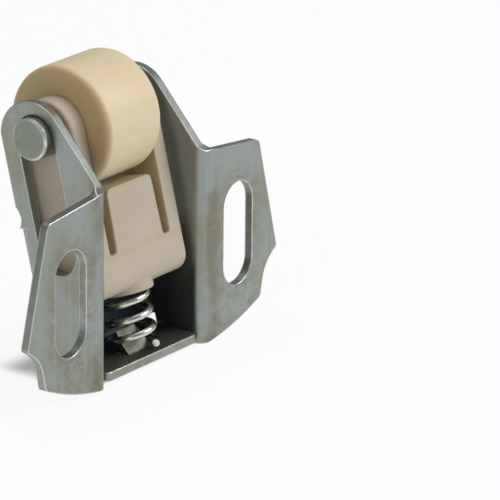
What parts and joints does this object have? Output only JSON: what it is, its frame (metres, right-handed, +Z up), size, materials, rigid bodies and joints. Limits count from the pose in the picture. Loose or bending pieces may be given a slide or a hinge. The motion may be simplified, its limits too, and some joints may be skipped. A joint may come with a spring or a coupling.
{
  "type": "roller catch",
  "caption": "Spring-loaded roller catch for a cupboard door: a folded steel bracket holds a sliding nylon carrier with a roller that clicks over a hooked strike.",
  "frame": {"origin": "on the mounting face of the two flanges, midway between the centres of their screw slots", "axes": "+X across the catch from flange to flange, +Y away from the surface it is screwed to, +Z up along the slots towards the roller"},
  "size_m": [0.0442, 0.0157, 0.0332],
  "materials": {
    "zinc_plate": "blue-grey zinc plate, satin, with warm tints beside bends and slots",
    "carrier_nylon": "natural nylon, matt",
    "roller_nylon": "cream nylon, smooth, slightly translucent",
    "pin_steel": "dull zinc-plated steel",
    "spring_steel": "bright drawn spring wire"
  },
  "bodies": {
    "bracket": {"bracket": "zinc_plate", "spring": "spring_steel"},
    "carrier": {"carrier": "carrier_nylon", "axle_pin": "pin_steel"},
    "roller": {"roller": "roller_nylon"}
  },
  "joints": [
    {"name": "carrier_slide", "type": "slide", "parent": "bracket", "child": "carrier", "axis": [0, -0.2419, -0.9703], "range_m": [0, 0.0045], "stiffness_N_per_m": 3000, "deforming": ["spring"]},
    {"name": "roller_spin", "type": "hinge", "parent": "carrier", "child": "roller", "pos_m": [0, 0.00923, 0.01535], "axis": [1, 0, 0], "continuous": true}
  ]
}
